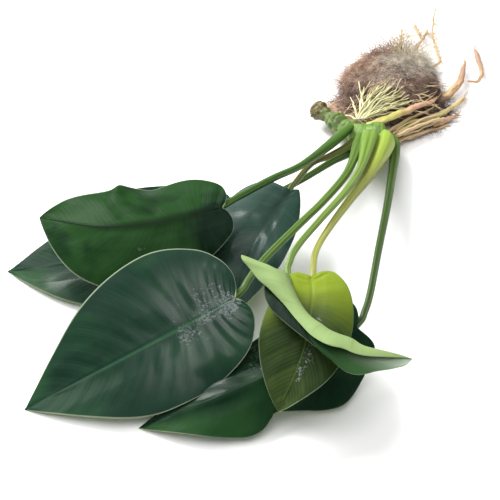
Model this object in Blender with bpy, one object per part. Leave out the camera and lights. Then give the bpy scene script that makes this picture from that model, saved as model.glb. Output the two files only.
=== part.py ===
# A small anubias plant lying on its side, as it comes out of its pot: seven leaves on long
# stalks, the creeping rhizome they grow from, its roots, and the plug of fibre the roots hold.
# Lengths are in millimetres here and scaled to metres as they become meshes; angles are in degrees.
# The origin is the middle of the plug's flat underside, on the surface the plant lies on.

import bpy
import bmesh
import math
import numpy as np
from mathutils import Quaternion, Vector, noise

MM = 0.001
GAP = 0.3
BLADE_THICKNESS = 0.5
RIBS = 14
STEPS_ACROSS = 4
STALK_RADIUS = 0.85
STALK_FOOT_RADIUS = 1.25
STALK_POINTS = 16
ROOT_POINTS = 12
RIM_POINTS = 12
PLUG_HALF_LENGTH = 15.0
PLUG_HALF_WIDTH = 14.0
PLUG_HEIGHT = 9.5
PLUG_LUMP = 0.9
PLUG_LUMP_SCALE = 2.5

# One half of a blade laid flat: share of the midrib's length, share of the half width.
HALF_OUTLINE = [
    (0, 0),
    (-0.035, 0.13),
    (-0.05, 0.33),
    (-0.02, 0.57),
    (0.07, 0.80),
    (0.20, 0.94),
    (0.36, 1.0),
    (0.53, 0.95),
    (0.69, 0.77),
    (0.83, 0.49),
    (0.94, 0.2),
    (1, 0),
]
WIDEST_AT = 0.36

# The front blade's near half, with a notch in its margin.
NOTCHED_OUTLINE = [
    (0, 0),
    (-0.03, 0.3),
    (-0.02, 0.5),
    (0.06, 0.77),
    (0.14, 0.98),
    (0.22, 1.05),
    (0.3, 0.98),
    (0.37, 0.84),
    (0.45, 0.68),
    (0.485, 0.63),
    (0.51, 0.7),
    (0.55, 0.8),
    (0.6, 0.83),
    (0.65, 0.77),
    (0.77, 0.52),
    (0.88, 0.29),
    (0.955, 0.12),
    (1, 0),
]

# The folded blade's halves: one turned over the other, with a long curled lobe at its base, and
# one pinched in at half its length.
FOLDED_OUTLINE = [
    (0, 0),
    (-0.083, 0.5),
    (-0.16, 0.8),
    (-0.19, 0.92),
    (-0.155, 0.97),
    (-0.09, 0.87),
    (0.02, 0.76),
    (0.11, 0.60),
    (0.24, 0.38),
    (0.39, 0.38),
    (0.50, 0.5),
    (0.58, 0.6),
    (0.68, 0.48),
    (0.78, 0.34),
    (0.9, 0.2),
    (1, 0),
]
PINCHED_OUTLINE = [
    (0, 0),
    (-0.03, 0.3),
    (-0.03, 0.6),
    (0.0, 0.76),
    (0.085, 0.94),
    (0.2, 0.92),
    (0.3, 0.78),
    (0.43, 0.66),
    (0.52, 0.7),
    (0.62, 0.92),
    (0.73, 0.98),
    (0.82, 0.7),
    (0.91, 0.5),
    (0.97, 0.3),
    (1, 0),
]

# Values in threes hold at a blade's base, middle and tip. "left" and "right" are as seen from
# above, looking from base to tip; "lift" is how steeply that half rises from the midrib, and
# "curl" is added to it at the midrib, fading to nothing at the margin.
BLADES = {
    "blade_raised": {
        "midrib": [
            (-50, -74, 27),
            (-59, -76, 26.5),
            (-69, -78.5, 26),
            (-82, -79, 25),
            (-99, -71, 20),
        ],
        "width": {"left": (13.5, 17.5, 17), "right": (15, 15.5, 18)},
        "lift": {"left": (-35, -45, -30), "right": (-5, -5, 25)},
        "widest_at": 0.38,
        "lobe": 0.8,
        "colour": (0.035, 0.11, 0.03),
    },
    "blade_low": {
        "midrib": [(-49, -63.5, 12), (-67, -68.5, 9), (-86, -72.5, 4.5), (-109, -72.5, 0.25)],
        "width": {"left": (17, 17, 17), "right": (16, 17, 17)},
        "lift": {"left": (-10, -10, -5), "right": (0, 20, -10)},
        "widest_at": 0.36,
        "lobe": 1,
        "colour": (0.03, 0.08, 0.035),
    },
    "blade_large": {
        "midrib": [
            (-46.5, -101.5, 22),
            (-55, -104.5, 18),
            (-69, -108.5, 11.5),
            (-86, -114.5, 5),
            (-100.5, -120.5, 0.25),
        ],
        "width": {"left": (16, 19, 19), "right": (21, 22, 15)},
        "lift": {"left": (-30, -20, 0), "right": (12, 22, 12)},
        "widest_at": 0.30,
        "lobe": 0.8,
        "colour": (0.03, 0.085, 0.045),
    },
    "blade_middle": {
        "midrib": [(-31.5, -56.5, 16), (-37, -67.5, 17), (-44, -80.5, 14), (-48, -96.5, 8)],
        "width": {"left": (4.5, 10, 9), "right": (13, 14, 11)},
        "lift": {"left": (-5, -5, -5), "right": (-5, -5, -5)},
        "widest_at": 0.38,
        "lobe": 0.1,
        "colour": (0.025, 0.06, 0.045),
    },
    "blade_front": {
        "midrib": [
            (-15, -104.5, 14),
            (-30, -114.5, 13),
            (-41, -119.5, 11),
            (-51, -123.5, 9),
            (-60, -125, 5.5),
            (-71, -126.5, 0.25),
        ],
        "width": {"left": (15, 15, 15), "right": (17, 12, 10)},
        "lift": {"left": (-42, -46, -5), "right": (15, -8, -25)},
        "outline": {"left": NOTCHED_OUTLINE},
        "widest_at": 0.34,
        "lobe": 0.9,
        "colour": (0.03, 0.09, 0.035),
    },
    "blade_young": {
        "midrib": [(-27, -98, 26.2), (-27, -106.5, 24), (-29.5, -117.5, 19), (-35.5, -130.5, 12)],
        "width": {"left": (11, 11, 11), "right": (11, 12.5, 14)},
        "lift": {"left": (0, 0, 0), "right": (-10, -6, 0)},
        "widest_at": 0.36,
        "lobe": 0.7,
        "colour": (0.25, 0.38, 0.05),
    },
    "blade_folded": {
        "midrib": [
            (-33.4, -98.1, 27),
            (-32.4, -101, 27.2),
            (-30.6, -107.5, 27.8),
            (-28, -112.8, 28),
            (-23.8, -117.9, 28.3),
            (-17.8, -121.2, 28.3),
            (-14.2, -123.5, 28),
            (-6, -125.1, 27.3),
            (-3, -126, 27),
        ],
        "width": {"left": (10, 10, 10), "right": (7.6, 7.6, 7.6)},
        "lift": {"left": (165, 152, 135), "right": (-14, -14, -22)},
        "curl": {"left": -70},
        "outline": {"left": FOLDED_OUTLINE, "right": PINCHED_OUTLINE},
        "widest_at": 0.36,
        "lobe": 1,
        "colour": (0.04, 0.10, 0.035),
    },
}

# Each stalk's route from the rhizome to its blade, and its radius at the foot, a third of the way
# up, two thirds up and under the blade.
STALKS = {
    "stalk_raised": {
        "route": [
            (-14, -24.5, 9),
            (-20, -35, 12.5),
            (-28.5, -48, 17),
            (-37, -57.5, 21),
            (-47.5, -69.5, 25),
            (-50.5, -72.5, 25.3),
        ],
        "radius": (2, 1.1, 1, 0.9),
        "colour": (0.05, 0.14, 0.03),
    },
    "stalk_middle": {
        "route": [(-14, -29.5, 7), (-20, -36.5, 9.5), (-25.5, -42.5, 12), (-31.5, -54.5, 14.5)],
        "radius": (1.2, 0.9, 0.8, 0.75),
        "colour": (0.12, 0.18, 0.05),
    },
    "stalk_low": {
        "route": [
            (-12, -28, 4.5),
            (-19.5, -34.5, 5),
            (-28.5, -43.5, 6.5),
            (-39.5, -53.5, 8.5),
            (-46.5, -60, 10.5),
        ],
        "radius": (1.2, 0.95, 0.85, 0.8),
        "colour": (0.07, 0.16, 0.04),
    },
    "stalk_large": {
        "route": [
            (-11, -30, 9.5),
            (-15.5, -48, 14.5),
            (-22.5, -63, 18.5),
            (-29.5, -74.5, 21),
            (-39.5, -89, 22),
            (-45.5, -99, 20.5),
        ],
        "radius": (1.4, 1.1, 1, 1),
        "colour": (0.07, 0.17, 0.05),
    },
    "stalk_folded": {
        "route": [
            (-8.5, -31, 11.5),
            (-12, -48.5, 16.5),
            (-17, -62, 20.5),
            (-24, -75.5, 24),
            (-31, -88.5, 26),
            (-33.3, -96.5, 25.5),
        ],
        "radius": (1.7, 1.1, 0.95, 0.85),
        "colour": (0.14, 0.28, 0.07),
    },
    "stalk_young": {
        "route": [
            (-4.5, -29.5, 8.5),
            (-9, -46, 12.5),
            (-15, -60.5, 17),
            (-21.5, -76, 21.5),
            (-25.5, -87.5, 24.5),
            (-26.5, -96.5, 25),
        ],
        "radius": (2.6, 1.5, 1, 0.85),
        "colour": (0.22, 0.36, 0.06),
    },
    "stalk_front": {
        "route": [
            (-1, -26.5, 5.5),
            (-3.5, -49.5, 9),
            (-8, -75, 11.5),
            (-11.5, -94, 13),
            (-14.5, -102.5, 12.5),
        ],
        "radius": (1.7, 1.15, 1, 0.95),
        "colour": (0.05, 0.13, 0.04),
    },
}

# The rhizome's axis from its cut end to the crown, and its radius at even steps along it.
RHIZOME_AXIS = [(-24, -11.5, 5.5), (-19, -16.5, 5.5), (-15, -21, 6), (-10.5, -25, 6.5), (-3, -26, 7)]
RHIZOME_RADII = [2.1, 2.5, 2.3, 1.9, 2.6, 2.9, 2.5, 3.1, 2.9, 3.4, 3.3, 3.7, 3.4, 2.4]

# Each root's route and its radius at the start and the end. A route is cut where it starts inside
# the rhizome or the plug, and lifted where it would pass through the plug or below the surface.
FAN_START = (-10.5, -20, 8.5)
FAN_ENDS = [
    (-17, -13, 3),
    (-13, -9, 7),
    (-9, -6.5, 9),
    (-4.5, -6, 9),
    (0, -5, 9),
    (2, -8, 8),
    (4.5, -10.5, 6),
]
FAN_SPACING = 1.15
FAN_RISE = 1.5
FAN_RADIUS = (0.45, 0.32)
ROOTS = {
    "root_cut_end": {"route": [(-17, -18.5, 5), (-18.5, -12.5, 3), (-21, -7.5, 1)], "radius": (0.55, 0.4)},
    "root_thick": {
        "route": [(-5.5, -22, 7.5), (0.5, -18, 7.5), (6.5, -13, 7), (12.5, -8, 5)],
        "radius": (1.5, 1.1),
    },
    "root_green": {
        "route": [(4, -17, 4), (10.5, -14, 3), (17.5, -7.5, 1.5), (22, -2, 1)],
        "radius": (0.9, 0.7),
    },
    "root_low_near": {"route": [(0, -23, 3), (5, -20, 1.5), (10, -17, 1)], "radius": (0.8, 0.6)},
    "root_low_middle": {"route": [(-1, -21, 3), (5.5, -17, 1), (10, -14.5, 1)], "radius": (0.6, 0.5)},
    "root_tan": {"route": [(11, -15, 1.2), (14, -13.5, 1.2), (17.5, -11.5, 1.2)], "radius": (1.1, 0.9)},
    "root_brown": {
        "route": [(17, -2, 2), (19, 0.5, 2.5), (20.7, 3, 2.5), (22, 8, 2), (23, 13.5, 1.5)],
        "radius": (1.4, 0.9),
    },
    "root_brown_branch": {
        "route": [(22.8, 3.5, 2), (26.3, 3.9, 1.8), (27.5, 6.5, 1.6), (27.5, 11.5, 1.4), (26.5, 19, 1.2)],
        "radius": (0.6, 1.1),
    },
    "root_long": {
        "route": [(7, 3.5, 4), (14.5, 11.5, 2), (15, 16, 1.5), (14, 27, 1.5), (16, 40.5, 1)],
        "radius": (0.6, 0.4),
    },
    "root_fork_stem": {"route": [(5, 7.5, 6), (8.5, 17.5, 4), (10.5, 23, 2)], "radius": (0.9, 0.6)},
    "root_fork_left": {"route": [(10.2, 24.3, 1.7), (9, 28.5, 1.2), (8.5, 32, 0.8)], "radius": (0.4, 0.3)},
    "root_fork_right": {
        "route": [(11.3, 23.8, 1.7), (12.2, 26.5, 1.2), (12.8, 29, 0.8)],
        "radius": (0.4, 0.3),
    },
    "root_back_left": {
        "route": [(2, 5.5, 7), (3, 12.5, 5.5), (4, 22.5, 3), (4.5, 29.5, 1.5)],
        "radius": (0.5, 0.3),
    },
}

LEAF_ROUGHNESS = 0.35
STALK_ROUGHNESS = 0.4
ROOT_ROUGHNESS = 0.6
PLUG_ROUGHNESS = 0.95
ROOT_COLOUR = (0.55, 0.42, 0.18)
THICK_ROOT_COLOUR = (0.42, 0.26, 0.11)
THICK_ROOTS = ("root_thick", "root_tan", "root_brown", "root_brown_branch")
RHIZOME_COLOUR = (0.10, 0.20, 0.04)
PLUG_COLOUR = (0.22, 0.16, 0.12)


def clear_scene():
    for thing in list(bpy.data.objects):
        bpy.data.objects.remove(thing, do_unlink=True)


def material(name, colour, roughness):
    made = bpy.data.materials.new(name)
    made.use_nodes = True
    shader = made.node_tree.nodes["Principled BSDF"]
    shader.inputs["Base Color"].default_value = (*colour, 1)
    shader.inputs["Roughness"].default_value = roughness
    shader.inputs["Metallic"].default_value = 0
    return made


def smooth_curve(points, count):
    """Points at even steps along a smooth line through the given ones."""
    given = np.array(points, float)
    ends = np.vstack([2 * given[0] - given[1], given, 2 * given[-1] - given[-2]])
    share = np.linspace(0, 1, 16, endpoint=False)[:, None]
    line = []
    for i in range(1, len(ends) - 2):
        a, b, c, d = ends[i - 1 : i + 3]
        square = (2 * a - 5 * b + 4 * c - d) * share**2
        cube = (3 * b - a - 3 * c + d) * share**3
        line.append(0.5 * (2 * b + (c - a) * share + square + cube))
    line = np.vstack([*line, ends[-2]])
    run = np.concatenate([[0], np.cumsum(np.linalg.norm(np.diff(line, axis=0), axis=1))])
    even = np.linspace(0, run[-1], count)
    return np.stack([np.interp(even, run, column) for column in line.T], axis=1)


def base_middle_tip(values, share):
    """A parabola through values at shares 0, 0.5 and 1."""
    base, middle, tip = values
    share = min(max(share, 0), 1)
    at_base = (1 - share) * (1 - 2 * share)
    at_tip = share * (2 * share - 1)
    return base * at_base + 4 * middle * share * (1 - share) + tip * at_tip


def unit(vector):
    return vector / np.linalg.norm(vector)


class Blade:
    """A leaf blade's middle surface: halves that rise from a curved midrib."""

    def __init__(self, values):
        self.values = values
        bend = math.log(values["widest_at"]) / math.log(WIDEST_AT)
        self.outline = {}
        for half in ("left", "right"):
            given = values.get("outline", {}).get(half, HALF_OUTLINE)
            outline = [(x**bend if x > 0 else x * values["lobe"], y) for x, y in given]
            self.outline[half] = smooth_curve(outline, 121)
        self.midrib = smooth_curve(values["midrib"], 101)
        self.length = np.linalg.norm(np.diff(self.midrib, axis=0), axis=1).sum()

    def frame(self, share):
        """Point, direction, left and up at a share of the midrib."""
        at = min(max(share, 0), 1) * (len(self.midrib) - 1)
        low = min(int(at), len(self.midrib) - 2)
        point = self.midrib[low] + (at - low) * (self.midrib[low + 1] - self.midrib[low])
        near = max(low - 3, 0)
        far = min(low + 4, len(self.midrib) - 1)
        along = unit(self.midrib[far] - self.midrib[near])
        up = unit(np.array([0, 0, 1]) - along[2] * along)
        return point, along, np.cross(up, along), up

    def flat(self, half, rib, across):
        """Point of one flat half on a rib that curves from the midrib to the margin."""
        outline = self.outline[half]
        at = rib * (len(outline) - 1)
        low = min(int(at), len(outline) - 2)
        margin = outline[low] + (at - low) * (outline[low + 1] - outline[low])
        start = np.array([rib**2, 0])
        bend = np.array([start[0] + 0.3 * (margin[0] - start[0]), 0.56 * margin[1]])
        return (1 - across) ** 2 * start + 2 * across * (1 - across) * bend + across**2 * margin

    def point(self, rib, across):
        """across runs from -1, the right margin, to 1, the left one."""
        half = "left" if across > 0 else "right"
        x, y = self.flat(half, rib, abs(across))
        middle, along, left, up = self.frame(x)
        if x < 0:
            middle = middle + x * self.length * along
        side = left if across > 0 else -left
        lift = base_middle_tip(self.values["lift"][half], x)
        lift = math.radians(lift + self.values.get("curl", {}).get(half, 0) * (1 - abs(across)))
        reach = y * base_middle_tip(self.values["width"][half], x)
        return middle + side * reach * math.cos(lift) + up * reach * math.sin(lift)


def add_object(name, data, colour, roughness):
    made = bpy.data.objects.new(name, data)
    bpy.context.scene.collection.objects.link(made)
    data.materials.append(material(name, colour, roughness))
    return made


def add_blade(name, values):
    blade = Blade(values)
    shape = bmesh.new()
    bmesh.ops.create_grid(shape, x_segments=RIBS, y_segments=2 * STEPS_ACROSS, size=1)
    floor = BLADE_THICKNESS / 2
    for vert in shape.verts:
        rib = (vert.co.x + 1) / 2
        place = blade.point(rib, vert.co.y)
        place[2] = max(place[2], floor)
        vert.co = Vector(place) * MM
    bmesh.ops.remove_doubles(shape, verts=shape.verts, dist=0.02 * MM)
    bmesh.ops.recalc_face_normals(shape, faces=shape.faces)
    mesh = bpy.data.meshes.new(name)
    shape.to_mesh(mesh)
    shape.free()
    mesh.shade_smooth()
    made = add_object(name, mesh, values["colour"], LEAF_ROUGHNESS)
    wall = made.modifiers.new("thickness", "SOLIDIFY")
    wall.thickness = BLADE_THICKNESS * MM
    wall.offset = 0
    return made


def add_tube(name, points, radii, colour, roughness, resolution=2):
    """A closed tube through the points, with its own radius at each."""
    curve = bpy.data.curves.new(name, "CURVE")
    curve.dimensions = "3D"
    curve.bevel_depth = MM
    curve.bevel_resolution = resolution
    curve.use_fill_caps = True
    line = curve.splines.new("POLY")
    line.points.add(len(points) - 1)
    for spot, place, radius in zip(line.points, points, radii):
        spot.co = (*(Vector(place) * MM), 1)
        spot.radius = radius
    return add_object(name, curve, colour, roughness)


def spread(values, count):
    """Values at even steps, smoothed to the given count."""
    return smooth_curve([(i, v) for i, v in enumerate(values)], count)[:, 1]


def rhizome_line():
    return smooth_curve(RHIZOME_AXIS, len(RHIZOME_RADII))


def clear_of_rhizome(place):
    line = smooth_curve(RHIZOME_AXIS, 60)
    thick = np.interp(np.linspace(0, 1, 60), np.linspace(0, 1, len(RHIZOME_RADII)), RHIZOME_RADII)
    return bool((np.linalg.norm(line - place, axis=1) > thick + GAP).all())


def plug_top(x, y, clearance):
    """Height of the plug's surface, grown by a clearance, above a point of the floor."""
    across = x / (PLUG_HALF_LENGTH + clearance)
    back = y / (PLUG_HALF_WIDTH + clearance)
    inside = 1 - across**2 - back**2
    return (PLUG_HEIGHT + clearance) * math.sqrt(inside) if inside > 0 else 0


def clear_of_plug(place):
    return place[2] > plug_top(place[0], place[1], PLUG_LUMP + GAP)


def end_rim(line, radii, i):
    """Points round the flat end that a tube would have at this point of its line."""
    along = Vector(unit(line[min(i + 1, len(line) - 1)] - line[i]))
    side = along.orthogonal().normalized()
    rim = [Vector(line[i])]
    for step in range(RIM_POINTS):
        turned = side.copy()
        turned.rotate(Quaternion(along, math.tau * step / RIM_POINTS))
        rim.append(Vector(line[i]) + turned * radii[i])
    return rim


def cut_start(line, radii, is_clear):
    """The line from the first point where a flat end is clear of what the line grows from."""
    for i in range(len(line)):
        if all(is_clear(np.array(spot)) for spot in end_rim(line, radii, i)):
            return line[i:], radii[i:]
    raise ValueError("the whole route lies inside")


def add_stalk(name, values):
    fine = smooth_curve(values["route"], 80)
    radii = spread(values["radius"], 80)
    fine, radii = cut_start(fine, radii, clear_of_rhizome)
    line = smooth_curve(fine, STALK_POINTS)
    thick = np.interp(np.linspace(0, 1, STALK_POINTS), np.linspace(0, 1, len(radii)), radii)
    return add_tube(name, line, thick, values["colour"], STALK_ROUGHNESS)


def add_rhizome():
    return add_tube("rhizome", rhizome_line(), RHIZOME_RADII, RHIZOME_COLOUR, STALK_ROUGHNESS, 3)


def add_root(name, route, ends):
    fine = smooth_curve(route, 60)
    radii = np.linspace(ends[0], ends[1], 60)
    fine, radii = cut_start(fine, radii, clear_of_rhizome)
    if fine[0][1] > 0:
        fine, radii = cut_start(fine, radii, clear_of_plug)
    for place, radius in zip(fine, radii):
        lowest = plug_top(place[0], place[1], PLUG_LUMP + radius + GAP)
        place[2] = max(place[2], lowest, radius)
    line = smooth_curve(fine, ROOT_POINTS)
    thick = np.linspace(radii[0], radii[-1], ROOT_POINTS)
    colour = THICK_ROOT_COLOUR if name in THICK_ROOTS else ROOT_COLOUR
    return add_tube(name, line, thick, colour, ROOT_ROUGHNESS)


def add_fan_roots():
    start = np.array(FAN_START)
    for i, end in enumerate(FAN_ENDS, 1):
        first = start + np.array([FAN_SPACING * (i - 4), 0, 0])
        middle = (first + np.array(end)) / 2 + np.array([0, 0, FAN_RISE])
        add_root(f"root_fan_{i}", [first, middle, end], FAN_RADIUS)


def add_plug():
    """A lumpy half ball of fibre with a flat underside."""
    shape = bmesh.new()
    bmesh.ops.create_icosphere(shape, subdivisions=4, radius=1)
    for vert in shape.verts:
        lump = 1 + PLUG_LUMP / PLUG_HEIGHT * noise.noise(vert.co * PLUG_LUMP_SCALE)
        vert.co.x = vert.co.x * PLUG_HALF_LENGTH * lump * MM
        vert.co.y = vert.co.y * PLUG_HALF_WIDTH * lump * MM
        vert.co.z = vert.co.z * PLUG_HEIGHT * lump * MM
    geometry = [*shape.verts, *shape.edges, *shape.faces]
    cut = bmesh.ops.bisect_plane(
        shape, geom=geometry, plane_co=(0, 0, 0), plane_no=(0, 0, -1), clear_outer=True
    )
    rim = [part for part in cut["geom_cut"] if isinstance(part, bmesh.types.BMEdge)]
    bmesh.ops.contextual_create(shape, geom=rim)
    bmesh.ops.recalc_face_normals(shape, faces=shape.faces)
    mesh = bpy.data.meshes.new("fibre_plug")
    shape.to_mesh(mesh)
    shape.free()
    mesh.shade_smooth()
    return add_object("fibre_plug", mesh, PLUG_COLOUR, PLUG_ROUGHNESS)


def main():
    clear_scene()
    for name, values in BLADES.items():
        add_blade(name, values)
    for name, values in STALKS.items():
        add_stalk(name, values)
    add_rhizome()
    add_fan_roots()
    for name, values in ROOTS.items():
        add_root(name, values["route"], values["radius"])
    add_plug()


main()
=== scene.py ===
import bmesh
import bpy
import math
import random
import numpy as np
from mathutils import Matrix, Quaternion, Vector, noise


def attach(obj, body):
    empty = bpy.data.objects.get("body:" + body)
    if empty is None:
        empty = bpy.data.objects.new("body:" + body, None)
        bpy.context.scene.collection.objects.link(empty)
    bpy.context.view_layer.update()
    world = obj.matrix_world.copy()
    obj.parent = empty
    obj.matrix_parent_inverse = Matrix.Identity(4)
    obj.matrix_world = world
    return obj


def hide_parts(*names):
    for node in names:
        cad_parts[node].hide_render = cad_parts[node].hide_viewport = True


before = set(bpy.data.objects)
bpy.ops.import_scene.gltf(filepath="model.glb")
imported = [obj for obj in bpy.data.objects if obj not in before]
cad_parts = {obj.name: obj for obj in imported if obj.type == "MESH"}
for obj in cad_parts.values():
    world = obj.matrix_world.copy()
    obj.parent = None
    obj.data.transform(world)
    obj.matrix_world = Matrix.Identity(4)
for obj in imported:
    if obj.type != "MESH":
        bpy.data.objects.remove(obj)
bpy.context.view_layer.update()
mm = 0.001
print("frame loaded:", len(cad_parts), "nodes")


def smoothCurve(points, count):
    # even steps along a smooth line through the given points
    given = np.array(points, float)
    ends = np.vstack([2 * given[0] - given[1], given, 2 * given[-1] - given[-2]])
    share = np.linspace(0, 1, 16, endpoint=False)[:, None]
    line = []
    for i in range(1, len(ends) - 2):
        a, b, c, d = ends[i - 1:i + 3]
        square = (2 * a - 5 * b + 4 * c - d) * share ** 2
        cube = (3 * b - a - 3 * c + d) * share ** 3
        line.append(0.5 * (2 * b + (c - a) * share + square + cube))
    line = np.vstack([*line, ends[-2]])
    run = np.concatenate([[0], np.cumsum(np.linalg.norm(np.diff(line, axis=0), axis=1))])
    even = np.linspace(0, run[-1], count)
    return np.stack([np.interp(even, run, column) for column in line.T], axis=1)


def spread(values, count):
    # values at even steps, smoothed to a count
    return smoothCurve([(i, value) for i, value in enumerate(values)], count)[:, 1]


def smoothStep(low, high, value):
    share = np.clip((value - low) / (high - low), 0, 1)
    return share * share * (3 - 2 * share)


def noiseAt(places, scale, seed=0):
    # one smooth random value, -1 to 1, at each place
    shift = Vector((seed, seed * 0.7, -seed))
    return np.array([noise.noise(Vector(p) * scale + shift) for p in places])


def newObject(name, data):
    made = bpy.data.objects.new(name, data)
    bpy.context.scene.collection.objects.link(made)
    return made


def newPiece(name, mesh, materials, node=None):
    piece = newObject(name, mesh)
    for material in materials:
        mesh.materials.append(material)
    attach(piece, "root")
    if node:
        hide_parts(node)
    return piece


def mapGrid(shape, name):
    # a square grid's own places as its surface map, 0 to 1 each way
    surfaceMap = shape.loops.layers.uv.new(name)
    for face in shape.faces:
        for loop in face.loops:
            loop[surfaceMap].uv = ((loop.vert.co.x + 1) / 2, (loop.vert.co.y + 1) / 2)


def meshFrom(shape, name):
    mesh = bpy.data.meshes.new(name)
    shape.to_mesh(mesh)
    shape.free()
    mesh.shade_smooth()
    return mesh


def rollTube(name, line, radii, sides, section=None, poleRows=3):
    # a grid rolled round a line, with rounded ends; section gives a radius factor by angle and share
    line = np.array(line, float)
    radii = np.array(radii, float)
    rows = len(line)
    shape = bmesh.new()
    bmesh.ops.create_grid(shape, x_segments=rows - 1, y_segments=sides, size=1)
    along = np.gradient(line, axis=0)
    along /= np.linalg.norm(along, axis=1)[:, None]
    side = np.zeros_like(line)
    upright = abs(along[0][2]) > 0.9
    side[0] = Vector(along[0]).orthogonal().normalized() if upright else np.cross(along[0], (0, 0, 1))
    for i in range(rows):
        carried = side[max(i - 1, 0)]
        carried = carried - carried.dot(along[i]) * along[i]
        side[i] = carried / np.linalg.norm(carried)
    over = np.cross(side, along)
    ends = np.minimum(np.arange(rows), np.arange(rows)[::-1]) / poleRows
    rounding = np.sqrt(1 - (1 - np.clip(ends, 0, 1)) ** 2)
    rowOf = np.array([round((vert.co.x + 1) / 2 * (rows - 1)) for vert in shape.verts])
    turn = np.array([(vert.co.y + 1) * math.pi for vert in shape.verts])
    factor = section(turn, rowOf / (rows - 1)) if section else 1
    reach = (radii * rounding)[rowOf] * factor
    place = line[rowOf] + (np.cos(turn) * reach)[:, None] * side[rowOf]
    place += (np.sin(turn) * reach)[:, None] * over[rowOf]
    mapGrid(shape, "tubeMap")
    for vert, spot in zip(shape.verts, place):
        vert.co = spot * mm
    bmesh.ops.remove_doubles(shape, verts=shape.verts, dist=0.002 * mm)
    bmesh.ops.recalc_face_normals(shape, faces=shape.faces)
    return meshFrom(shape, name)


def strandMesh(name, strands, sides=0):
    # many thin round strands as one mesh; a strand is its points and their radii in millimetres
    curve = bpy.data.curves.new(name, "CURVE")
    curve.dimensions = "3D"
    curve.bevel_depth = mm
    curve.bevel_resolution = sides
    curve.use_fill_caps = True
    for points, radii in strands:
        line = curve.splines.new("POLY")
        line.points.add(len(points) - 1)
        flat = np.ones((len(points), 4))
        flat[:, :3] = np.array(points) * mm
        line.points.foreach_set("co", flat.ravel())
        line.points.foreach_set("radius", np.array(radii, float))
    holder = newObject(name, curve)
    bpy.context.view_layer.update()
    mesh = bpy.data.meshes.new_from_object(holder.evaluated_get(bpy.context.evaluated_depsgraph_get()))
    bpy.data.objects.remove(holder)
    mesh.name = name
    mesh.shade_smooth()
    return mesh


def newMaterial(name, roughness=0.5, **fixed):
    made = bpy.data.materials.new(name)
    made.use_nodes = True
    shader = made.node_tree.nodes["Principled BSDF"]
    shader.inputs["Roughness"].default_value = roughness
    for socket, value in fixed.items():
        shader.inputs[socket.replace("_", " ")].default_value = value
    return made, made.node_tree, shader


def plug(tree, value, socket):
    # joins a node's output, or sets a plain value
    if isinstance(value, bpy.types.NodeSocket):
        tree.links.new(value, socket)
    elif isinstance(value, tuple) and len(value) == 3 and socket.type == "RGBA":
        socket.default_value = (*value, 1)
    else:
        socket.default_value = value


def mathNode(tree, operation, first, second=0, third=None, clamp=False):
    node = tree.nodes.new("ShaderNodeMath")
    node.operation = operation
    node.use_clamp = clamp
    plug(tree, first, node.inputs[0])
    plug(tree, second, node.inputs[1])
    if third is not None:
        plug(tree, third, node.inputs[2])
    return node.outputs[0]


def times(tree, first, second):
    return mathNode(tree, "MULTIPLY", first, second)


def apart(tree, first, second):
    return mathNode(tree, "ABSOLUTE", mathNode(tree, "SUBTRACT", first, second))


def mixNode(tree, share, first, second, blend="MIX"):
    node = tree.nodes.new("ShaderNodeMix")
    node.data_type = "RGBA"
    node.blend_type = blend
    plug(tree, share, node.inputs["Factor"])
    plug(tree, first, node.inputs["A"])
    plug(tree, second, node.inputs["B"])
    return node.outputs["Result"]


def stepNode(tree, value, low, high, toLow=0, toHigh=1):
    node = tree.nodes.new("ShaderNodeMapRange")
    node.interpolation_type = "SMOOTHSTEP"
    settings = {"Value": value, "From Min": low, "From Max": high, "To Min": toLow, "To Max": toHigh}
    for name, given in settings.items():
        plug(tree, given, node.inputs[name])
    return node.outputs["Result"]


def noiseNode(tree, where, scale, detail=3, rough=0.5, distortion=0):
    node = tree.nodes.new("ShaderNodeTexNoise")
    plug(tree, where, node.inputs["Vector"])
    plug(tree, scale, node.inputs["Scale"])
    node.inputs["Detail"].default_value = detail
    node.inputs["Roughness"].default_value = rough
    node.inputs["Distortion"].default_value = distortion
    return node.outputs["Fac"]


def stretchNode(tree, where, scale):
    node = tree.nodes.new("ShaderNodeMapping")
    plug(tree, where, node.inputs["Vector"])
    node.inputs["Scale"].default_value = scale
    return node.outputs["Vector"]


def objectPlace(tree):
    return tree.nodes.new("ShaderNodeTexCoord").outputs["Object"]


def mapPlace(tree, name):
    node = tree.nodes.new("ShaderNodeUVMap")
    node.uv_map = name
    return node.outputs["UV"]


def splitPlace(tree, where):
    node = tree.nodes.new("ShaderNodeSeparateXYZ")
    plug(tree, where, node.inputs[0])
    return node.outputs[0], node.outputs[1]


def bumpNode(tree, height, distance, strength=1):
    node = tree.nodes.new("ShaderNodeBump")
    node.inputs["Strength"].default_value = strength
    node.inputs["Distance"].default_value = distance
    plug(tree, height, node.inputs["Height"])
    return node.outputs["Normal"]


def finishSkin(tree, shader, tone, grain, rough, height, depth, strength=0.8):
    # colour, a roughness that follows the grain, and relief in metres
    plug(tree, tone, shader.inputs["Base Color"])
    plug(tree, stepNode(tree, grain, 0.3, 0.7, *rough), shader.inputs["Roughness"])
    plug(tree, bumpNode(tree, height, depth, strength), shader.inputs["Normal"])


def newGroup(name, inputs, outputs):
    group = bpy.data.node_groups.new(name, "ShaderNodeTree")
    for label, kind, value in inputs:
        socket = group.interface.new_socket(label, in_out="INPUT", socket_type=kind)
        if value is not None:
            socket.default_value = value
    for label, kind in outputs:
        group.interface.new_socket(label, in_out="OUTPUT", socket_type=kind)
    return group, group.nodes.new("NodeGroupInput"), group.nodes.new("NodeGroupOutput")


def useGroup(tree, group, **values):
    node = tree.nodes.new("ShaderNodeGroup")
    node.node_tree = group
    for socket, value in values.items():
        plug(tree, value, node.inputs[socket])
    return node.outputs


floatSocket, vectorSocket = "NodeSocketFloat", "NodeSocketVector"


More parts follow.
